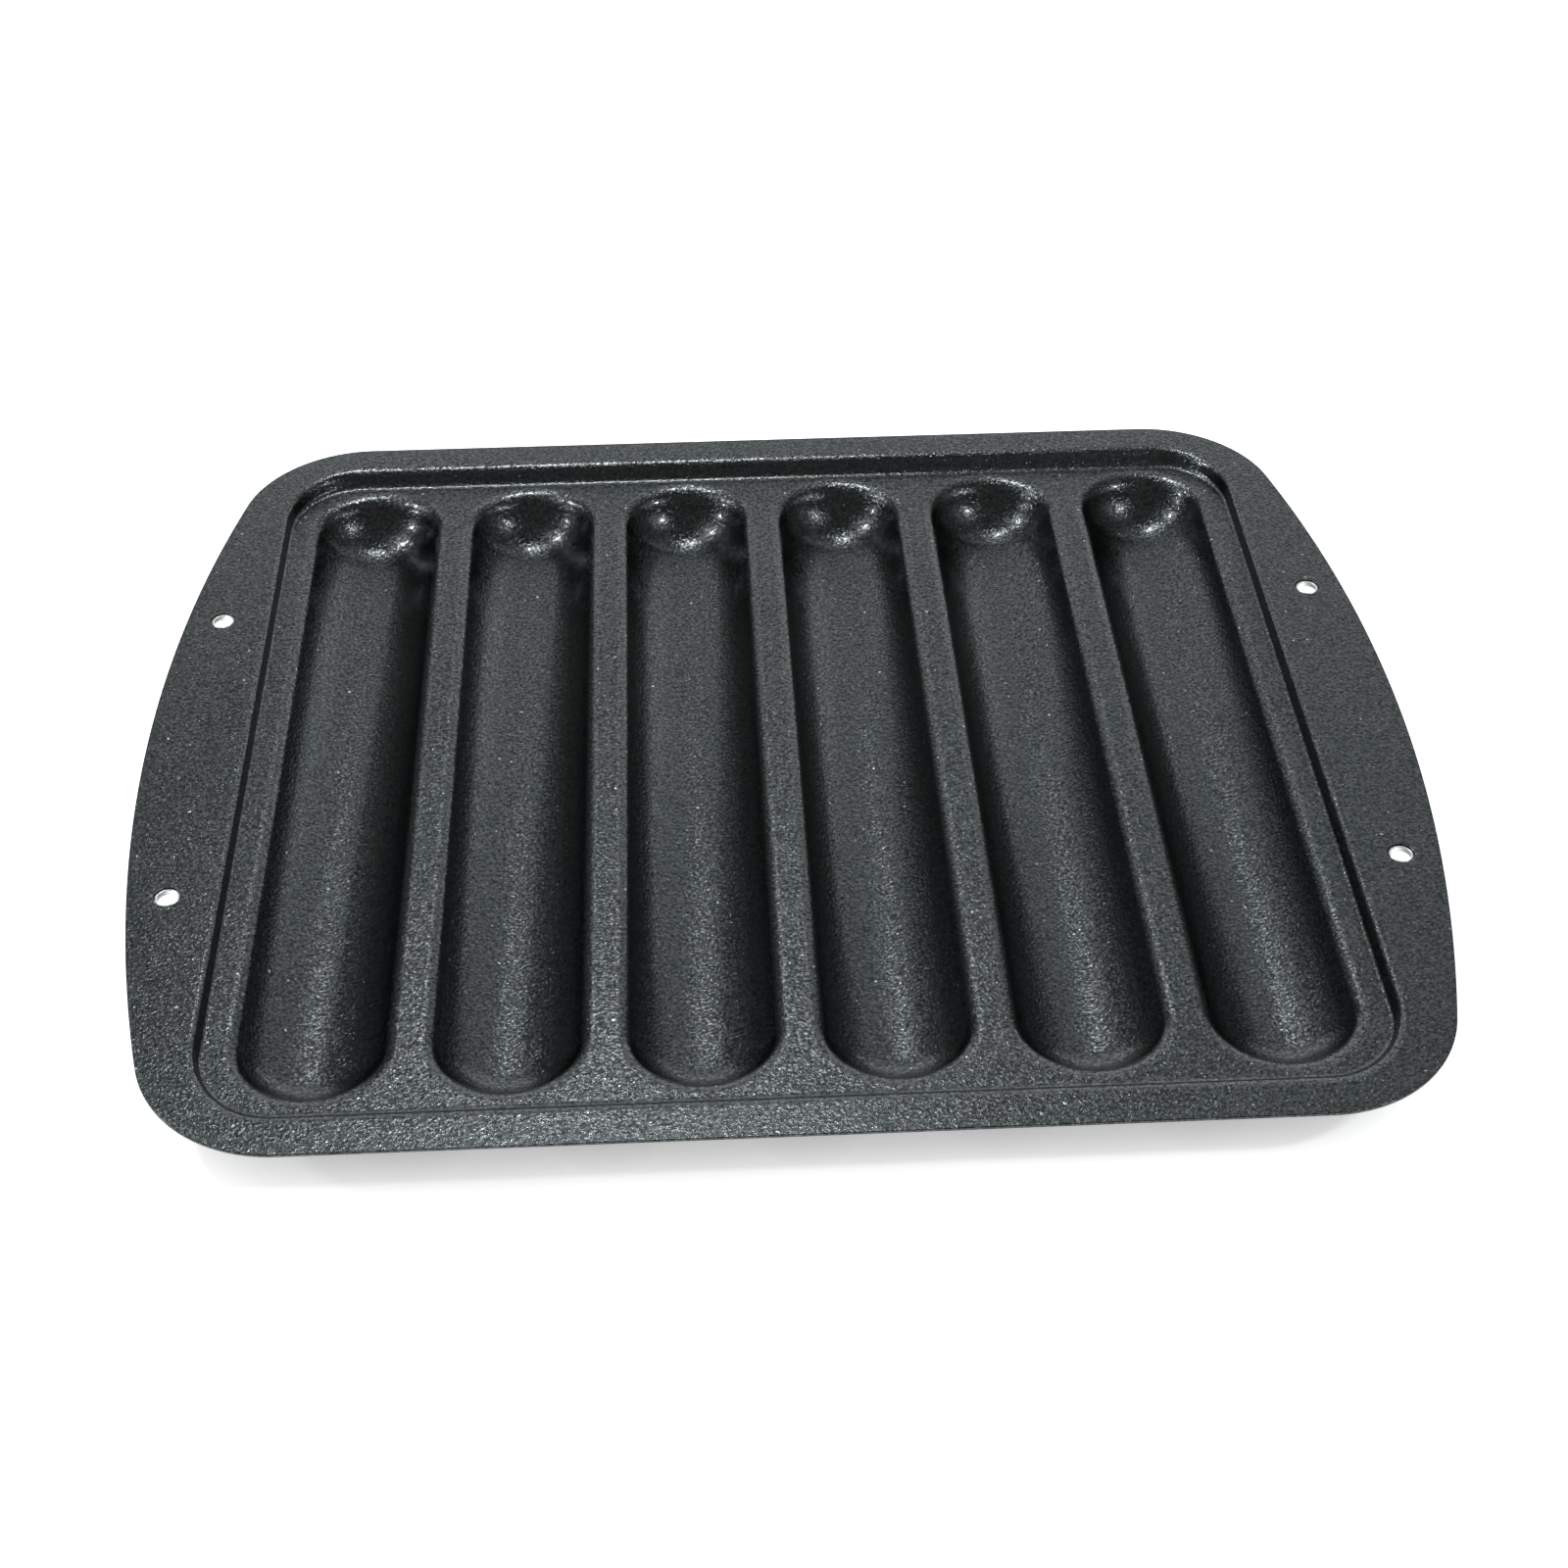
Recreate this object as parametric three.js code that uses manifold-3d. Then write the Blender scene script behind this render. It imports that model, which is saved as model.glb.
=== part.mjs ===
// Channel grill pan: one pressed sheet with rounded channels in a stepped recess,
// and four bare-metal eyelets that line the holes in its side wings.
// Millimetres, +Z up. The channels run front to back along Y, and the pan stands on
// their undersides at z = 0, centred on the origin.
import * as THREE from 'three';
import { mergeVertices } from 'three/addons/utils/BufferGeometryUtils.js';
import Module from 'manifold-3d';

// Sheet and channels, whose lips are softer at the ends than along the sides
const SHEET = 0.8;
const CHANNEL_COUNT = 6;
const CHANNEL_WIDTH = 36;
const CHANNEL_DEPTH = 11;
const CHANNEL_STRAIGHT = 184.6;
const SIDE_LIP_RADIUS = 3;
const END_LIP_RADIUS = 6;
const RIDGE_FLAT = 4.9;

// Stepped recess: flat land around the channels, then a step up to the rim,
// which is steep along the sides and soft and sloping along the front and the back
const SIDE_LAND = 4.1;
const END_LAND = 0.6;
const RECESS_CORNER_RADIUS = 17;
const STEP_DEPTH = 3.8;
const SIDE_EDGE_RADIUS = 1.2;
const SIDE_FOOT_RADIUS = 0.9;
const SIDE_DRAFT_DEGREES = 10;
const END_EDGE_RADIUS = 3.8;
const END_FOOT_RADIUS = 2.8;
const END_DRAFT_DEGREES = 35;

// Rim: narrow in front and behind, with a bulged wing at each side
const RIM_WIDTH = 8.15;
const WING_WIDTH = 22.5;
const WING_RADIUS = 415;
const RIM_CORNER_RADIUS = 32.5;

// Wing holes and the eyelets set into them from below
const HOLE_DIAMETER = 6;
const HOLE_SPACING = 100;
const HOLE_INSET = 12;
const EYELET_CLEARANCE = 0.3;
const EYELET_WALL = 0.4;
const EYELET_SINK = 0.2;
const EYELET_FLANGE_WIDTH = 1.6;
const EYELET_FLANGE_THICKNESS = 0.5;
const EYELET_EDGE_BREAK = 0.12;

// Facets: steps up a channel's side, in its lip and in a round of the recess step,
// then around a channel, the recess, an arc of the rim and a hole
const CHANNEL_STEPS = 6;
const LIP_STEPS = 2;
const STEP_ROUND_STEPS = 3;
const CHANNEL_SEGMENTS = 24;
const RECESS_SEGMENTS = 32;
const OUTLINE_SEGMENTS = 14;
const HOLE_SEGMENTS = 24;

// How far a cutter or a joined form reaches past the surface that it meets
const OVERSHOOT = SHEET / 2;

const QUARTER = Math.PI / 2;

// Depths below the rim's upper surface, which is z = 0 inside the pan group
const channelBottom = STEP_DEPTH + CHANNEL_DEPTH;
const panHeight = channelBottom + SHEET;

// Channel section: the round of the trough runs into the round of each lip without a corner
const channelHalfWidth = CHANNEL_WIDTH / 2;
const centresApart = (channelHalfWidth ** 2 + CHANNEL_DEPTH ** 2) / (2 * CHANNEL_DEPTH);
const troughAngle = Math.acos(1 - CHANNEL_DEPTH / centresApart);

// Plan sizes, worked outwards from the channels
const channelHalfLength = CHANNEL_STRAIGHT / 2 + channelHalfWidth;
const pitch = CHANNEL_WIDTH + RIDGE_FLAT;
const firstChannelX = (-(CHANNEL_COUNT - 1) / 2) * pitch;
const floorHalfWidth = -firstChannelX + channelHalfWidth + SIDE_LAND;
const floorHalfDepth = channelHalfLength + END_LAND;
const sideStep = stepSizes(SIDE_EDGE_RADIUS, SIDE_FOOT_RADIUS, SIDE_DRAFT_DEGREES);
const endStep = stepSizes(END_EDGE_RADIUS, END_FOOT_RADIUS, END_DRAFT_DEGREES);
const panHalfWidth = floorHalfWidth + sideStep.run + WING_WIDTH;
const panHalfDepth = floorHalfDepth + endStep.run + RIM_WIDTH;
const holeX = panHalfWidth - HOLE_INSET;
const holeY = HOLE_SPACING / 2;

const coating = new THREE.MeshStandardMaterial({ color: 0x3c4145, roughness: 0.5, metalness: 0.2 });
const bareMetal = new THREE.MeshStandardMaterial({ color: 0xc4c6c6, roughness: 0.3, metalness: 1 });

const wasm = await Module();
wasm.setup();

// Sizes of a step's section; its run is how far it reaches out in plan, from foot to rim
function stepSizes(edgeRadius, footRadius, draftDegrees) {
  const draft = THREE.MathUtils.degToRad(draftDegrees);
  const rounds = edgeRadius + footRadius;
  const wallHeight = STEP_DEPTH - rounds * (1 - Math.sin(draft));
  const run = rounds * Math.cos(draft) + wallHeight * Math.tan(draft);
  return { edgeRadius, footRadius, wallAngle: QUARTER - draft, run };
}

// Boolean solid from a closed geometry; a turned form's poles leave collapsed triangles to drop
function toSolid(geometry) {
  geometry.deleteAttribute('normal');
  geometry.deleteAttribute('uv');
  const merged = mergeVertices(geometry);
  const index = merged.index.array;
  const triangles = [];
  for (let i = 0; i < index.length; i += 3) {
    const [a, b, c] = index.slice(i, i + 3);
    if (a !== b && b !== c && c !== a) triangles.push(a, b, c);
  }
  return new wasm.Manifold(new wasm.Mesh({
    numProp: 3,
    vertProperties: new Float32Array(merged.attributes.position.array),
    triVerts: new Uint32Array(triangles),
  }));
}

function toGeometry(solid) {
  const { vertProperties, triVerts } = solid.getMesh();
  const geometry = new THREE.BufferGeometry();
  geometry.setAttribute('position', new THREE.BufferAttribute(vertProperties, 3));
  geometry.setIndex(new THREE.BufferAttribute(triVerts, 1));
  geometry.computeVertexNormals();
  return geometry;
}

// Corners of a faceted round whose facets touch the true arc, so its end facets are tangents
function roundCorners(centreR, centreZ, radius, startAngle, endAngle, steps) {
  const step = (endAngle - startAngle) / steps;
  const reach = radius / Math.cos(step / 2);
  return Array.from({ length: steps }, (_, i) => {
    const angle = startAngle + (i + 0.5) * step;
    return new THREE.Vector2(centreR + reach * Math.cos(angle), centreZ + reach * Math.sin(angle));
  });
}

// Turned form whose four quarters are pushed apart in plan, as in a rounded box or a trough.
// Its profile passes from that of the sides to that of the ends around each quarter.
// Half a segment of turn puts a facet across each axis, which becomes a straight wall.
function spreadTurning(sideProfile, endProfile, segments, spreadX, spreadY) {
  const halfSegment = Math.PI / segments;
  const geometry = new THREE.LatheGeometry(endProfile, segments, halfSegment);
  const position = geometry.attributes.position;
  const point = new THREE.Vector2();
  for (let i = 0; i < position.count; i += 1) {
    const along = i % endProfile.length;
    const turn = halfSegment * (1 + 2 * Math.floor(i / endProfile.length));
    const across = Math.sin(turn);
    const ahead = Math.cos(turn);
    point.lerpVectors(sideProfile[along], endProfile[along], ahead ** 2);
    const reach = point.x / Math.cos(halfSegment);
    const x = reach > 0 ? reach * across + Math.sign(across) * spreadX : 0;
    const z = reach > 0 ? reach * ahead + Math.sign(ahead) * spreadY : 0;
    position.setXYZ(i, x, point.y, z);
  }
  geometry.rotateX(QUARTER);
  return geometry;
}

// Closes a hollow's profile, from the axis at its bottom to the axis above its mouth
function closeOnAxis(wall) {
  const bottom = wall[0];
  const mouth = wall[wall.length - 1];
  const top = mouth.y + OVERSHOOT;
  return [
    new THREE.Vector2(0, bottom.y),
    ...wall,
    new THREE.Vector2(mouth.x, top),
    new THREE.Vector2(0, top),
  ];
}

// Section of the recess through one of its steps
function recessProfile(step, offset) {
  const foot = roundCorners(
    RECESS_CORNER_RADIUS, step.footRadius - STEP_DEPTH, step.footRadius + offset,
    -QUARTER, step.wallAngle - QUARTER, STEP_ROUND_STEPS,
  );
  const edge = roundCorners(
    RECESS_CORNER_RADIUS + step.run, -step.edgeRadius, step.edgeRadius - offset,
    QUARTER + step.wallAngle, QUARTER, STEP_ROUND_STEPS,
  );
  return closeOnAxis([...foot, ...edge]);
}

// Inner surface of the recess at offset 0, its underside at an offset of one sheet
function recessForm(offset) {
  return spreadTurning(
    recessProfile(sideStep, offset), recessProfile(endStep, offset), RECESS_SEGMENTS,
    floorHalfWidth - RECESS_CORNER_RADIUS, floorHalfDepth - RECESS_CORNER_RADIUS,
  );
}

// Section of a channel from its lowest line to one of its lips
function channelProfile(lipRadius, offset) {
  const troughRadius = centresApart - lipRadius;
  const trough = roundCorners(
    0, troughRadius - channelBottom, troughRadius + offset,
    -QUARTER, troughAngle - QUARTER, CHANNEL_STEPS,
  );
  const lip = roundCorners(
    channelHalfWidth, -STEP_DEPTH - lipRadius, lipRadius - offset,
    QUARTER + troughAngle, QUARTER, LIP_STEPS,
  );
  return closeOnAxis([...trough, ...lip]);
}

// Inner surface of a channel at offset 0, its underside at an offset of one sheet
function channelForm(offset) {
  return spreadTurning(
    channelProfile(SIDE_LIP_RADIUS, offset), channelProfile(END_LIP_RADIUS, offset), CHANNEL_SEGMENTS,
    0, CHANNEL_STRAIGHT / 2,
  );
}

// Plan outline of the rim: straight front and back, bulged wings, round corners, four holes
function rimOutline() {
  const wingX = panHalfWidth - WING_RADIUS;
  const cornerY = panHalfDepth - RIM_CORNER_RADIUS;
  const cornerX = wingX + Math.sqrt((WING_RADIUS - RIM_CORNER_RADIUS) ** 2 - cornerY ** 2);
  const wingAngle = Math.atan2(cornerY, cornerX - wingX);
  const outline = new THREE.Shape();
  outline.absarc(wingX, 0, WING_RADIUS, -wingAngle, wingAngle);
  outline.absarc(cornerX, cornerY, RIM_CORNER_RADIUS, wingAngle, QUARTER);
  outline.absarc(-cornerX, cornerY, RIM_CORNER_RADIUS, QUARTER, Math.PI - wingAngle);
  outline.absarc(-wingX, 0, WING_RADIUS, Math.PI - wingAngle, Math.PI + wingAngle);
  outline.absarc(-cornerX, -cornerY, RIM_CORNER_RADIUS, Math.PI + wingAngle, 3 * QUARTER);
  outline.absarc(cornerX, -cornerY, RIM_CORNER_RADIUS, -QUARTER, -wingAngle);
  for (const side of [-1, 1]) {
    for (const end of [-1, 1]) {
      const hole = new THREE.Path();
      hole.absarc(side * holeX, end * holeY, HOLE_DIAMETER / 2, 0, 2 * Math.PI);
      outline.holes.push(hole);
    }
  }
  return outline;
}

// Flat blank, joined with the undersides of the pressed forms and cut by their insides
function panShell() {
  const blank = new THREE.ExtrudeGeometry(rimOutline(), {
    depth: SHEET,
    bevelEnabled: false,
    curveSegments: OUTLINE_SEGMENTS,
  });
  blank.translate(0, 0, -SHEET);
  const channelUnderside = toSolid(channelForm(SHEET));
  const channelInside = toSolid(channelForm(0));
  let shell = toSolid(blank).add(toSolid(recessForm(SHEET)));
  for (let i = 0; i < CHANNEL_COUNT; i += 1) {
    shell = shell.add(channelUnderside.translate([firstChannelX + i * pitch, 0, 0]));
  }
  shell = shell.subtract(toSolid(recessForm(0)));
  for (let i = 0; i < CHANNEL_COUNT; i += 1) {
    shell = shell.subtract(channelInside.translate([firstChannelX + i * pitch, 0, 0]));
  }
  const mesh = new THREE.Mesh(toGeometry(shell), coating);
  mesh.name = 'pan_shell';
  return mesh;
}

// Turned eyelet: a short barrel up into the hole and a flange under the sheet
function eyelet(name, x, y) {
  const barrel = HOLE_DIAMETER / 2 - EYELET_CLEARANCE;
  const bore = barrel - EYELET_WALL;
  const flange = barrel + EYELET_FLANGE_WIDTH;
  const top = -EYELET_SINK;
  const seat = -SHEET - EYELET_CLEARANCE;
  const bottom = seat - EYELET_FLANGE_THICKNESS;
  const edge = EYELET_EDGE_BREAK;
  const profile = [
    [bore, bottom],
    [flange - edge, bottom],
    [flange, bottom + edge],
    [flange, seat - edge],
    [flange - edge, seat],
    [barrel, seat],
    [barrel, top - edge],
    [barrel - edge, top],
    [bore + edge, top],
    [bore, top - edge],
    [bore, bottom],
  ];
  const geometry = new THREE.LatheGeometry(profile.map((p) => new THREE.Vector2(...p)), HOLE_SEGMENTS);
  geometry.rotateX(QUARTER);
  const mesh = new THREE.Mesh(geometry, bareMetal);
  mesh.name = name;
  mesh.position.set(x, y, 0);
  return mesh;
}

const pan = new THREE.Group();
pan.position.z = panHeight;
pan.add(panShell());
pan.add(eyelet('eyelet_front_left', -holeX, -holeY));
pan.add(eyelet('eyelet_front_right', holeX, -holeY));
pan.add(eyelet('eyelet_rear_left', -holeX, holeY));
pan.add(eyelet('eyelet_rear_right', holeX, holeY));

const grillPan = new THREE.Group();
grillPan.add(pan);

export default grillPan;
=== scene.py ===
"""Looks of the channel grill pan: the fine sheet, its eyelets, finishes, floor, light and camera."""
import math

import bmesh
import bpy
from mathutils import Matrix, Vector


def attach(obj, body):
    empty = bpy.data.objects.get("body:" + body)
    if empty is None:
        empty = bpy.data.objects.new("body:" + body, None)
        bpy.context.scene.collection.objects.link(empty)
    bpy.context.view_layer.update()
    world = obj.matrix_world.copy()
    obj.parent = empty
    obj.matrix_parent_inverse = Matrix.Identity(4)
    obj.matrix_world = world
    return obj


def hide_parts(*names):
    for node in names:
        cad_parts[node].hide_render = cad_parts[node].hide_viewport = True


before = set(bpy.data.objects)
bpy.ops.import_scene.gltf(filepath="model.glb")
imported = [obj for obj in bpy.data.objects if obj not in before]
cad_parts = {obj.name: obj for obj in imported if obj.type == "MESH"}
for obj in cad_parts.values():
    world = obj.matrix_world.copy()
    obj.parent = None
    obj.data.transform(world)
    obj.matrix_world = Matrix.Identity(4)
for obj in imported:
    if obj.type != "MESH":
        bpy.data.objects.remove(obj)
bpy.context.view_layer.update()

MM = 0.001
QUARTER = math.pi / 2
WHITE = (1, 1, 1, 1)

# Sizes of the sheet, as in the solids
SHEET = 0.8 * MM
CHANNEL_COUNT = 6
CHANNEL_WIDTH = 36 * MM
CHANNEL_DEPTH = 11 * MM
CHANNEL_STRAIGHT = 184.6 * MM
SIDE_LIP_RADIUS = 3 * MM
END_LIP_RADIUS = 6 * MM
RIDGE_FLAT = 4.9 * MM
SIDE_LAND = 4.1 * MM
END_LAND = 0.6 * MM
RECESS_CORNER_RADIUS = 17 * MM
STEP_DEPTH = 3.8 * MM
SIDE_EDGE_RADIUS = 1.2 * MM
SIDE_FOOT_RADIUS = 0.9 * MM
SIDE_DRAFT = math.radians(10)
END_EDGE_RADIUS = 3.8 * MM
END_FOOT_RADIUS = 2.8 * MM
END_DRAFT = math.radians(35)
RIM_WIDTH = 8.15 * MM
WING_WIDTH = 22.5 * MM
WING_RADIUS = 415 * MM
RIM_CORNER_RADIUS = 32.5 * MM
HOLE_RADIUS = 3 * MM
HOLE_SPACING = 100 * MM
HOLE_INSET = 12 * MM
TRIM_ROUND = 0.2 * MM

# Sizes of an eyelet
EYELET_CLEARANCE = 0.3 * MM
EYELET_WALL = 0.4 * MM
EYELET_SINK = 0.2 * MM
EYELET_FLANGE_WIDTH = 1.6 * MM
EYELET_FLANGE_THICKNESS = 0.5 * MM
EYELET_ROUND = 0.15 * MM

# Fineness of the mesh
LIP_STEPS = 8
TROUGH_STEPS = 26
CHANNEL_END_STEPS = 48
STEP_ROUND_STEPS = 6
RECESS_CORNER_STEPS = 20
WING_STEPS = 40
RIM_CORNER_STEPS = 24
TRIM_STEPS = 3
HOLE_STEPS = 48
MERGE = 0.001 * MM

# Wear of the coating along rounded edges, with a painted highlight: the edges are made paler so that the
# glints of the lamps there spread wider
WEAR_AND_GLINT = "wear_and_glint"
WEAR_AND_GLINT_COLLAR = 0.3 * MM
WEAR_AND_GLINT_STEPS = 4

# Coating: linear colours, texture scales in cells per metre, and spans of the textures' values
COATING_DARK = (0.036, 0.040, 0.043, 1)
COATING_PALE = (0.100, 0.106, 0.109, 1)
# Pale colour of rounded edges: partly wear, partly a painted highlight
COATING_RUBBED_AND_GLINT = (0.112, 0.118, 0.121, 1)
COATING_SHEEN = (0.75, 0.75, 0.75, 1)
COATING_ROUGHNESS = (0.13, 0.22)
GRAIN_SCALE = 1300
GRAIN_SPAN = (0.34, 0.66)
SATIN_SCALE = 700
PIMPLE_SCALE = 1500
PIMPLE_SPAN = (0.46, 0.72)
PIMPLE_HEIGHT = 0.05 * MM
NOISE_SPAN = (0.3, 0.7)

# Flakes in the coating: reach as a part of a cell, threshold of the cells that hold one
LARGE_FLAKES = {"scale": 420, "reach": 0.17, "threshold": 0.77, "tone": 0.34}
SMALL_FLAKES = {"scale": 900, "reach": 0.24, "threshold": 0.60, "tone": 0.18}
FLAKE_CORE = 0.5
FLAKE_FADE = 0.06
FLAKE_RED = 0.96
WANDER_SCALE = 900
WANDER_REACH = 0.7 * MM

# Bare metal of the eyelets
METAL_DULL = (0.68, 0.69, 0.69, 1)
METAL_BRIGHT = (0.86, 0.87, 0.87, 1)
METAL_ROUGHNESS = (0.25, 0.42)
METAL_SCALE = 900
METAL_DETAIL = 3

# Paper floor, and how its glow fades where the object covers it: a painted shadow from ambient occlusion
PAPER_HALF = 2.5
PAPER_DROP = 0.2 * MM
PAPER_DARK = (0.86, 0.86, 0.86, 1)
PAPER_PALE = (0.90, 0.90, 0.90, 1)
PAPER_ROUGHNESS = 0.9
PAPER_GLOSS = 0.1
PAPER_SCALE = 40
SHADE_REACH = 25 * MM
SHADE_SAMPLES = 8
SHADE_SPAN = (0, 0.6)
SHADE_GLOW = (0.1, 0.90)

# Light: the world's strength on the object and as the camera sees it, and the tint of the lamps
WORLD_STRENGTH = (0.2, 1)
LAMP_COLOUR = (0.97, 1.0, 1.0)

# Worked outwards from the channels; the rim's upper surface is at z = PAN_HEIGHT
CHANNEL_BOTTOM = STEP_DEPTH + CHANNEL_DEPTH
PAN_HEIGHT = CHANNEL_BOTTOM + SHEET
HALF_CHANNEL = CHANNEL_WIDTH / 2
CENTRES_APART = (HALF_CHANNEL ** 2 + CHANNEL_DEPTH ** 2) / (2 * CHANNEL_DEPTH)
TROUGH_ANGLE = math.acos(1 - CHANNEL_DEPTH / CENTRES_APART)
PITCH = CHANNEL_WIDTH + RIDGE_FLAT
FIRST_CHANNEL = -(CHANNEL_COUNT - 1) / 2 * PITCH
FLOOR_HALF_WIDTH = -FIRST_CHANNEL + HALF_CHANNEL + SIDE_LAND
FLOOR_HALF_DEPTH = CHANNEL_STRAIGHT / 2 + HALF_CHANNEL + END_LAND
SIDE_ROUNDS = SIDE_EDGE_RADIUS + SIDE_FOOT_RADIUS
SIDE_WALL = STEP_DEPTH - SIDE_ROUNDS * (1 - math.sin(SIDE_DRAFT))
SIDE_RUN = SIDE_ROUNDS * math.cos(SIDE_DRAFT) + SIDE_WALL * math.tan(SIDE_DRAFT)
END_ROUNDS = END_EDGE_RADIUS + END_FOOT_RADIUS
END_WALL = STEP_DEPTH - END_ROUNDS * (1 - math.sin(END_DRAFT))
END_RUN = END_ROUNDS * math.cos(END_DRAFT) + END_WALL * math.tan(END_DRAFT)
PAN_HALF_WIDTH = FLOOR_HALF_WIDTH + SIDE_RUN + WING_WIDTH
PAN_HALF_DEPTH = FLOOR_HALF_DEPTH + END_RUN + RIM_WIDTH
HOLE_X = PAN_HALF_WIDTH - HOLE_INSET
HOLE_Y = HOLE_SPACING / 2

# Camera, fitted to the photograph: sensor and lens in millimetres, its turn in degrees
CAMERA_SENSOR = 36
CAMERA_LENS = 55.92
CAMERA_NEAR = 0.01
CAMERA_PLACE = (-0.02038, -0.44301, PAN_HEIGHT + 0.37189)
CAMERA_TURN = (48.7558, 0.0858, -2.8605)


def arc(centre_x, centre_y, radius, start, end, steps):
    """Points along an arc, both ends included."""
    angles = [start + (end - start) * k / steps for k in range(steps + 1)]
    return [(centre_x + radius * math.cos(a), centre_y + radius * math.sin(a)) for a in angles]


def circle(x, y, radius):
    """Points once around a circle."""
    return arc(x, y, radius, 0, 2 * math.pi, HOLE_STEPS)[:-1]


def rim_plan(inset):
    """Edge of the rim: straight front and back, bulged wings and round corners."""
    wing_x = PAN_HALF_WIDTH - WING_RADIUS
    corner_y = PAN_HALF_DEPTH - RIM_CORNER_RADIUS
    corner_x = wing_x + math.sqrt((WING_RADIUS - RIM_CORNER_RADIUS) ** 2 - corner_y ** 2)
    turn = math.atan2(corner_y, corner_x - wing_x)
    wing = arc(wing_x, 0, WING_RADIUS - inset, 0, turn, WING_STEPS)
    corner = arc(corner_x, corner_y, RIM_CORNER_RADIUS - inset, turn, QUARTER, RIM_CORNER_STEPS)
    quarter = wing[:-1] + corner
    half = quarter + [(-x, y) for x, y in reversed(quarter)]
    return half + [(-x, -y) for x, y in half[1:-1]]


def level(plan, z):
    """Loop of points at one height."""
    return [(x, y, z) for x, y in plan]


def step_loop(side_point, end_point):
    """Loop around the recess that goes from the side section to the end section in each corner."""
    spread_x = FLOOR_HALF_WIDTH - RECESS_CORNER_RADIUS
    spread_y = FLOOR_HALF_DEPTH - RECESS_CORNER_RADIUS
    points = []
    for turn, (side, end) in enumerate(((1, 1), (-1, 1), (-1, -1), (1, -1))):
        for step in range(RECESS_CORNER_STEPS + 1):
            angle = QUARTER * (turn + step / RECESS_CORNER_STEPS)
            out, z = Vector(side_point).lerp(Vector(end_point), math.sin(angle) ** 2)
            x = side * spread_x + (RECESS_CORNER_RADIUS + out) * math.cos(angle)
            y = end * spread_y + (RECESS_CORNER_RADIUS + out) * math.sin(angle)
            points.append((x, y, z))
    return points


def channel_loop(x, side_point, end_point):
    """Long oval around a channel that goes from the side section to the end section and back."""
    points = []
    for start, end in ((0, 1), (math.pi, -1)):
        for step in range(CHANNEL_END_STEPS + 1):
            angle = start + math.pi * step / CHANNEL_END_STEPS
            radius, z = Vector(side_point).lerp(Vector(end_point), math.sin(angle) ** 2)
            y = end * CHANNEL_STRAIGHT / 2 + radius * math.sin(angle)
            points.append((x + radius * math.cos(angle), y, z))
    return points


def trim_section():
    """Rounded edge of the sheet as pairs of inset and height, from the upper face to the lower one."""
    upper = [(y, x) for x, y in arc(-TRIM_ROUND, TRIM_ROUND, TRIM_ROUND, 0, -QUARTER, TRIM_STEPS)]
    lower = [(inset, -SHEET - z) for inset, z in reversed(upper)]
    return upper + lower


def step_section(run, edge_radius, foot_radius, draft, offset):
    """Step from the rim down to the recess floor as pairs of distance outside the floor and height."""
    wall = QUARTER - draft
    edge = arc(run, -edge_radius, edge_radius - offset, QUARTER, QUARTER + wall, STEP_ROUND_STEPS)
    foot_z = foot_radius - STEP_DEPTH
    foot = arc(0, foot_z, foot_radius + offset, wall - QUARTER, -QUARTER, STEP_ROUND_STEPS)
    return [(run + WEAR_AND_GLINT_COLLAR, -offset)] + edge + foot


def channel_section(lip_radius, offset):
    """Lip and trough, down to the channel's lowest line, as pairs of radius and height."""
    lip_z = -STEP_DEPTH - lip_radius
    lip = arc(HALF_CHANNEL, lip_z, lip_radius - offset, QUARTER, QUARTER + TROUGH_ANGLE, LIP_STEPS)
    trough_radius = CENTRES_APART - lip_radius
    trough_z = trough_radius - CHANNEL_BOTTOM
    trough = arc(0, trough_z, trough_radius + offset, TROUGH_ANGLE - QUARTER, -QUARTER, TROUGH_STEPS)
    return [(HALF_CHANNEL + WEAR_AND_GLINT_COLLAR, -STEP_DEPTH - offset)] + lip + trough[1:]


def ring(bm, points, wear_and_glint=0.0):
    """Loop of vertices, marked with how far the coating there is worn and painted pale as a highlight."""
    layer = bm.verts.layers.float.get(WEAR_AND_GLINT) or bm.verts.layers.float.new(WEAR_AND_GLINT)
    loop = [bm.verts.new((x, y, PAN_HEIGHT + z)) for x, y, z in points]
    for vertex in loop:
        vertex[layer] = wear_and_glint
    return loop


def edge_wear_and_glint(step):
    """Wear and painted highlight across a rounded edge: none on the collar outside it, most where the
    rounding starts.
    """
    return max(0.0, 1 - (step - 1) / WEAR_AND_GLINT_STEPS) if step else 0.0


def worn_and_glinting_rings(bm, loops, worn_and_glinting):
    """Rings from a collar across the rounded edge beside it, rubbed and painted pale as a highlight there if
    the flag is 1.
    """
    return [ring(bm, loop, worn_and_glinting * edge_wear_and_glint(step)) for step, loop in enumerate(loops)]


def skin(bm, rings):
    """Faces between each ring and the next."""
    for upper, lower in zip(rings, rings[1:]):
        for k in range(len(upper)):
            bm.faces.new((upper[k - 1], upper[k], lower[k], lower[k - 1]))


def plate(bm, loops):
    """Flat face between an outer loop and the loops cut out of it."""
    edges = []
    for loop in loops:
        for k in range(len(loop)):
            pair = (loop[k - 1], loop[k])
            edges.append(bm.edges.get(pair) or bm.edges.new(pair))
    bmesh.ops.triangle_fill(bm, use_beauty=True, edges=edges)


def link_object(name, data):
    """New object in the scene."""
    item = bpy.data.objects.new(name, data)
    bpy.context.collection.objects.link(item)
    return item


def mesh_object(bm, name, material):
    """New object of a finished form and its material."""
    mesh = bpy.data.meshes.new(name)
    bm.to_mesh(mesh)
    bm.free()
    mesh.materials.append(material)
    return link_object(name, mesh)


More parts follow.
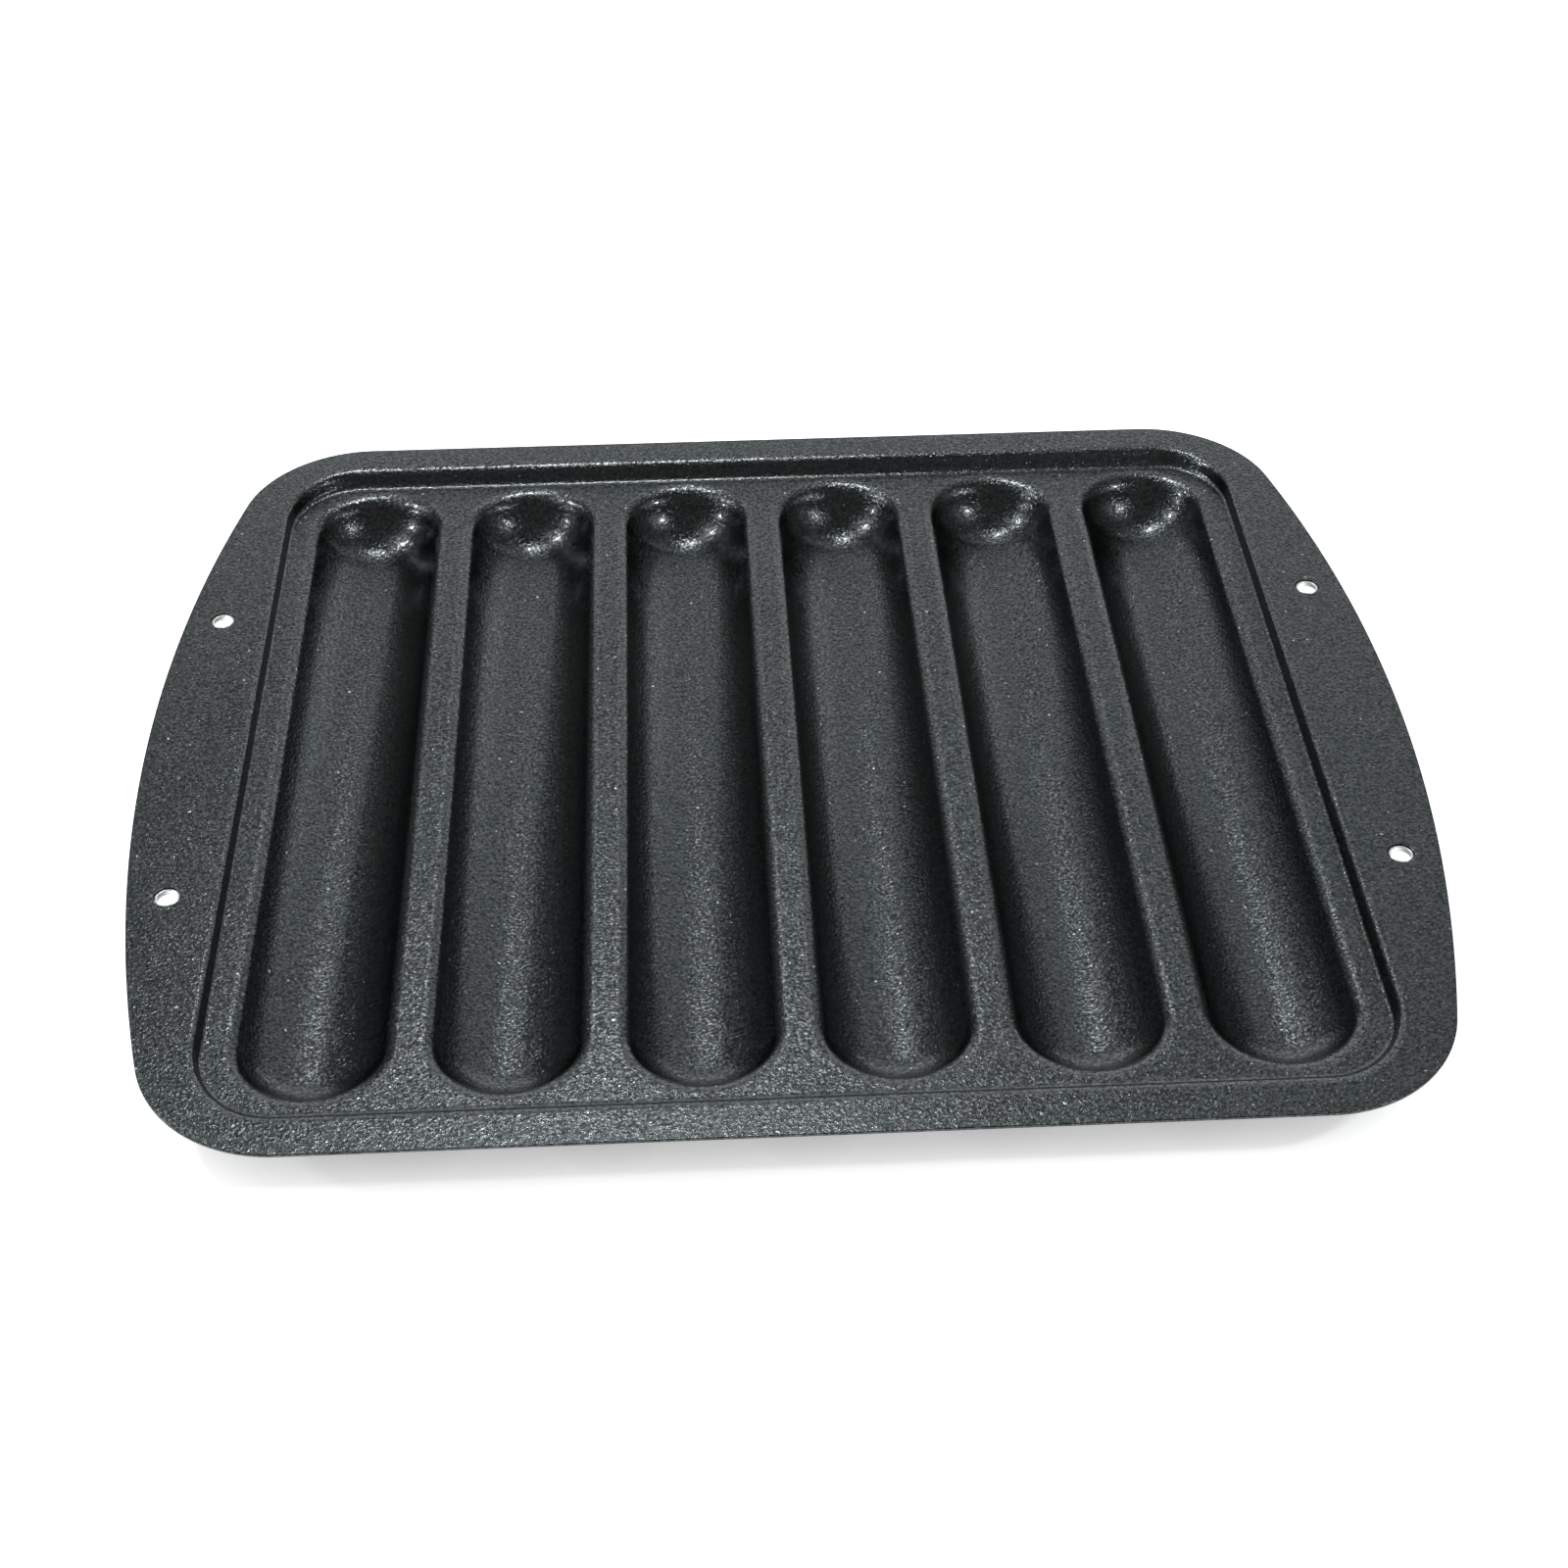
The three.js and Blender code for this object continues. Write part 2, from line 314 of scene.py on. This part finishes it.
def piece_from(bm, name, material, node):
    """Finished piece that stands for a solid, hides it, and wears the given material."""
    bmesh.ops.remove_doubles(bm, verts=bm.verts[:], dist=MERGE)
    bmesh.ops.recalc_face_normals(bm, faces=bm.faces[:])
    piece = mesh_object(bm, name, material)
    piece.data.shade_smooth()
    piece.modifiers.new("weighted_normals", "WEIGHTED_NORMAL").keep_sharp = True
    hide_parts(node)
    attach(piece, "root")


def make_pan(material):
    """Sheet with an upper and an under skin, joined along the trimmed edge and in the four holes."""
    bm = bmesh.new()
    trim = trim_section()
    edges = [[ring(bm, level(rim_plan(inset), z)) for inset, z in trim]]
    for x in (-HOLE_X, HOLE_X):
        for y in (-HOLE_Y, HOLE_Y):
            edges.append([ring(bm, level(circle(x, y, HOLE_RADIUS + inset), z)) for inset, z in trim])
    for rings in edges:
        skin(bm, rings)
    # Only the upper skin gets the pale edges of wear and painted highlight
    for offset, which, worn_and_glinting in ((0, 0, 1), (SHEET, -1, 0)):
        side_section = step_section(SIDE_RUN, SIDE_EDGE_RADIUS, SIDE_FOOT_RADIUS, SIDE_DRAFT, offset)
        end_section = step_section(END_RUN, END_EDGE_RADIUS, END_FOOT_RADIUS, END_DRAFT, offset)
        step = worn_and_glinting_rings(bm, map(step_loop, side_section, end_section), worn_and_glinting)
        skin(bm, step)
        plate(bm, [rings[which] for rings in edges] + [step[0]])
        side_section = channel_section(SIDE_LIP_RADIUS, offset)
        end_section = channel_section(END_LIP_RADIUS, offset)
        mouths = []
        for channel in range(CHANNEL_COUNT):
            x = FIRST_CHANNEL + channel * PITCH
            loops = [channel_loop(x, *pair) for pair in zip(side_section, end_section)]
            rings = worn_and_glinting_rings(bm, loops, worn_and_glinting)
            skin(bm, rings)
            mouths.append(rings[0])
        plate(bm, [step[-1]] + mouths)
    piece_from(bm, "pan", material, "pan_shell")


def rounded_corners(corners, radius, steps):
    """Closed loop with every right-angled corner rounded."""
    points = []
    for k, corner in enumerate(corners):
        here = Vector(corner)
        back = (Vector(corners[k - 1]) - here).normalized() * radius
        ahead = (Vector(corners[(k + 1) % len(corners)]) - here).normalized() * radius
        centre = here + back + ahead
        for step in range(steps + 1):
            turn = QUARTER * step / steps
            points.append(centre - ahead * math.cos(turn) - back * math.sin(turn))
    return points


def make_eyelet(name, material, x, y):
    """Turned eyelet: a short barrel up into the hole and a flange under the sheet."""
    barrel = HOLE_RADIUS - EYELET_CLEARANCE
    bore = barrel - EYELET_WALL
    flange = barrel + EYELET_FLANGE_WIDTH
    seat = -SHEET - EYELET_CLEARANCE
    bottom = seat - EYELET_FLANGE_THICKNESS
    top = -EYELET_SINK
    flange_corners = [(bore, bottom), (flange, bottom), (flange, seat), (barrel, seat)]
    barrel_corners = [(barrel, top), (bore, top)]
    section = rounded_corners(flange_corners + barrel_corners, EYELET_ROUND, TRIM_STEPS)
    bm = bmesh.new()
    rings = [ring(bm, level(circle(x, y, radius), z)) for radius, z in section]
    skin(bm, rings + rings[:1])
    piece_from(bm, name + "_fine", material, name)


def set_inputs(tree, node, inputs):
    """Set each input of a node, or link it where its value is a socket."""
    for key, value in inputs.items():
        if isinstance(value, bpy.types.NodeSocket):
            tree.links.new(value, node.inputs[key])
        else:
            node.inputs[key].default_value = value


def add_node(tree, kind, inputs=None, **settings):
    """New node with its settings, and its inputs set or linked."""
    node = tree.nodes.new(kind)
    for key, value in settings.items():
        setattr(node, key, value)
    set_inputs(tree, node, inputs or {})
    return node


def new_material(name):
    """Material with its node tree, its shader and the place of a point on the object."""
    material = bpy.data.materials.new(name)
    material.use_nodes = True
    tree = material.node_tree
    place = add_node(tree, "ShaderNodeTexCoord").outputs["Object"]
    return material, tree, tree.nodes["Principled BSDF"], place


def noise(tree, place, scale, detail=2):
    """Value of a noise texture."""
    inputs = {"Vector": place, "Scale": scale, "Detail": detail}
    return add_node(tree, "ShaderNodeTexNoise", inputs).outputs["Fac"]


def ramp(tree, value, span, onto=(0, 1)):
    """Value spread from one span onto another."""
    inputs = {"Value": value, "From Min": span[0], "From Max": span[1], "To Min": onto[0], "To Max": onto[1]}
    return add_node(tree, "ShaderNodeMapRange", inputs).outputs["Result"]


def combine(tree, operation, a, b):
    """Result of an operation on two values."""
    return add_node(tree, "ShaderNodeMath", {0: a, 1: b}, operation=operation).outputs[0]


def mix_colour(tree, factor, a, b):
    """Mix of two colours; 6 and 7 are the colour inputs of the node and 2 is its colour output."""
    return add_node(tree, "ShaderNodeMix", {0: factor, 6: a, 7: b}, data_type="RGBA").outputs[2]


def shaken_place(tree, place):
    """Place moved about a little, so that cells lose their regular outline."""
    wander = add_node(tree, "ShaderNodeTexNoise", {"Vector": place, "Scale": WANDER_SCALE})
    inputs = {0: wander.outputs["Color"], "Scale": WANDER_REACH}
    shift = add_node(tree, "ShaderNodeVectorMath", inputs, operation="SCALE").outputs[0]
    return add_node(tree, "ShaderNodeVectorMath", {0: place, 1: shift}, operation="ADD").outputs[0]


def add_flakes(tree, place, colour, scale, reach, threshold, tone):
    """Colour with bright flakes in the cells whose random value passes the threshold."""
    cells = add_node(tree, "ShaderNodeTexVoronoi", {"Vector": place, "Scale": scale})
    spot = ramp(tree, cells.outputs["Distance"], (FLAKE_CORE * reach, reach), (1, 0))
    pick = ramp(tree, cells.outputs["Color"], (threshold, threshold + FLAKE_FADE))
    flake = combine(tree, "MULTIPLY", spot, pick)
    return mix_colour(tree, flake, colour, (FLAKE_RED * tone, tone, tone, 1))


def coating_material():
    """Graphite non-stick coating: a granular sheen, bright flakes in it and edges rubbed pale, which is
    partly wear and partly a painted highlight.
    """
    material, tree, shader, place = new_material("coating")
    mottle = ramp(tree, noise(tree, place, GRAIN_SCALE), GRAIN_SPAN)
    colour = mix_colour(tree, mottle, COATING_DARK, COATING_PALE)
    # Pale rounded edges: wear, and a painted highlight that widens the glints there
    worn_and_glinting = add_node(tree, "ShaderNodeAttribute", attribute_name=WEAR_AND_GLINT).outputs["Fac"]
    rubbed_and_glint = combine(tree, "MULTIPLY", worn_and_glinting, mottle)
    colour = mix_colour(tree, rubbed_and_glint, colour, COATING_RUBBED_AND_GLINT)
    shaken = shaken_place(tree, place)
    for flakes in (LARGE_FLAKES, SMALL_FLAKES):
        colour = add_flakes(tree, shaken, colour, **flakes)
    pimples = ramp(tree, noise(tree, place, PIMPLE_SCALE), PIMPLE_SPAN)
    peel = add_node(tree, "ShaderNodeBump", {"Height": pimples, "Distance": PIMPLE_HEIGHT})
    set_inputs(tree, shader, {
        "Base Color": colour,
        "Roughness": ramp(tree, noise(tree, place, SATIN_SCALE), NOISE_SPAN, COATING_ROUGHNESS),
        "Metallic": 1,
        "Specular Tint": COATING_SHEEN,
        "Normal": peel.outputs["Normal"],
    })
    return material


def eyelet_material():
    """Bare aluminium, dulled in patches."""
    material, tree, shader, place = new_material("eyelet")
    patch = noise(tree, place, METAL_SCALE, METAL_DETAIL)
    set_inputs(tree, shader, {
        "Base Color": mix_colour(tree, patch, METAL_DULL, METAL_BRIGHT),
        "Roughness": ramp(tree, patch, NOISE_SPAN, METAL_ROUGHNESS),
        "Metallic": 1,
    })
    return material


def floor_material():
    """White paper that shows as the white ground of a studio picture; its diffuse part keeps the real
    shadow, and its glow is dimmed by ambient occlusion as a painted shadow.
    """
    material, tree, shader, place = new_material("paper")
    rays = add_node(tree, "ShaderNodeLightPath").outputs
    shown = combine(tree, "MAXIMUM", rays["Is Camera Ray"], rays["Is Glossy Ray"])
    shown = combine(tree, "MAXIMUM", shown, rays["Is Transmission Ray"])
    # Painted shadow: the glow dims where ambient occlusion finds the object close by
    sky = add_node(tree, "ShaderNodeAmbientOcclusion", {"Distance": SHADE_REACH}, samples=SHADE_SAMPLES)
    shade = ramp(tree, sky.outputs["AO"], SHADE_SPAN, SHADE_GLOW)
    set_inputs(tree, shader, {
        "Base Color": mix_colour(tree, noise(tree, place, PAPER_SCALE), PAPER_DARK, PAPER_PALE),
        "Roughness": PAPER_ROUGHNESS,
        "Specular IOR Level": PAPER_GLOSS,
        "Emission Color": WHITE,
        "Emission Strength": combine(tree, "MULTIPLY", shown, shade),
    })
    return material


def make_floor():
    """Floor just under the lowest lines of the channels."""
    bm = bmesh.new()
    corners = []
    for x, y in ((-1, -1), (1, -1), (1, 1), (-1, 1)):
        corners.append(bm.verts.new((x * PAPER_HALF, y * PAPER_HALF, -PAPER_DROP)))
    bm.faces.new(corners)
    floor = mesh_object(bm, "floor", floor_material())


def softbox(name, place, target, width, height, radiance):
    """Rectangular lamp facing a target; its power follows from its area and radiance."""
    lamp = bpy.data.lights.new(name, "AREA")
    lamp.shape = "RECTANGLE"
    lamp.size = width
    lamp.size_y = height
    lamp.energy = radiance * math.pi * width * height
    lamp.color = LAMP_COLOUR
    holder = link_object(name, lamp)
    holder.location = place
    holder.rotation_euler = (Vector(place) - Vector(target)).to_track_quat("Z", "Y").to_euler()
    holder.visible_camera = False


def make_world():
    """Even white surround, bright to the camera and faint as light on the object."""
    world = bpy.data.worlds.new("studio")
    bpy.context.scene.world = world
    world.use_nodes = True
    tree = world.node_tree
    seen = add_node(tree, "ShaderNodeLightPath").outputs["Is Camera Ray"]
    strength = ramp(tree, seen, (0, 1), WORLD_STRENGTH)
    set_inputs(tree, tree.nodes["Background"], {"Color": WHITE, "Strength": strength})


def make_lamps():
    """Large panels behind and around the pan, and small lamps that give the spots of light."""
    pan = (0, 0, PAN_HEIGHT)
    softbox("back_panel", (0.15, 0.70, 0.645), (0.15, 0, 0.645), width=1.1, height=0.55, radiance=0.66)
    softbox("low_panel", (0.15, 0.70, 0.20), (0.15, 0, 0.20), width=1.1, height=0.34, radiance=1.4)
    softbox("top_panel", (0.0, 0.38, 0.73), pan, width=1.0, height=0.24, radiance=0.5)
    softbox("left_panel", (-0.5, 0.0, 0.8), pan, width=0.4, height=0.4, radiance=0.6)
    softbox("right_panel", (0.7, -0.05, 0.6), pan, width=0.3, height=0.6, radiance=0.4)
    softbox("rear_lamp", (-0.09, 0.42, 0.90), pan, width=0.32, height=0.08, radiance=33)
    softbox("left_lamp", (-0.65, 0.22, 0.75), pan, width=0.07, height=0.07, radiance=160)
    softbox("left_low_lamp", (-0.88, -0.12, 0.44), pan, width=0.07, height=0.07, radiance=90)
    softbox("right_lamp", (0.64, -0.33, 0.67), pan, width=0.07, height=0.07, radiance=120)


def make_camera():
    """Camera that takes the photograph's view."""
    camera = bpy.data.cameras.new("camera")
    camera.sensor_width = CAMERA_SENSOR
    camera.lens = CAMERA_LENS
    camera.clip_start = CAMERA_NEAR
    holder = link_object("camera", camera)
    holder.location = CAMERA_PLACE
    holder.rotation_euler = [math.radians(angle) for angle in CAMERA_TURN]
    bpy.context.scene.camera = holder


make_camera()
make_pan(coating_material())
bare_metal = eyelet_material()
for end_name, end in (("front", -1), ("rear", 1)):
    for side_name, side in (("left", -1), ("right", 1)):
        make_eyelet(f"eyelet_{end_name}_{side_name}", bare_metal, side * HOLE_X, end * HOLE_Y)
make_floor()
make_world()
make_lamps()
bpy.context.scene.view_settings.view_transform = "Standard"
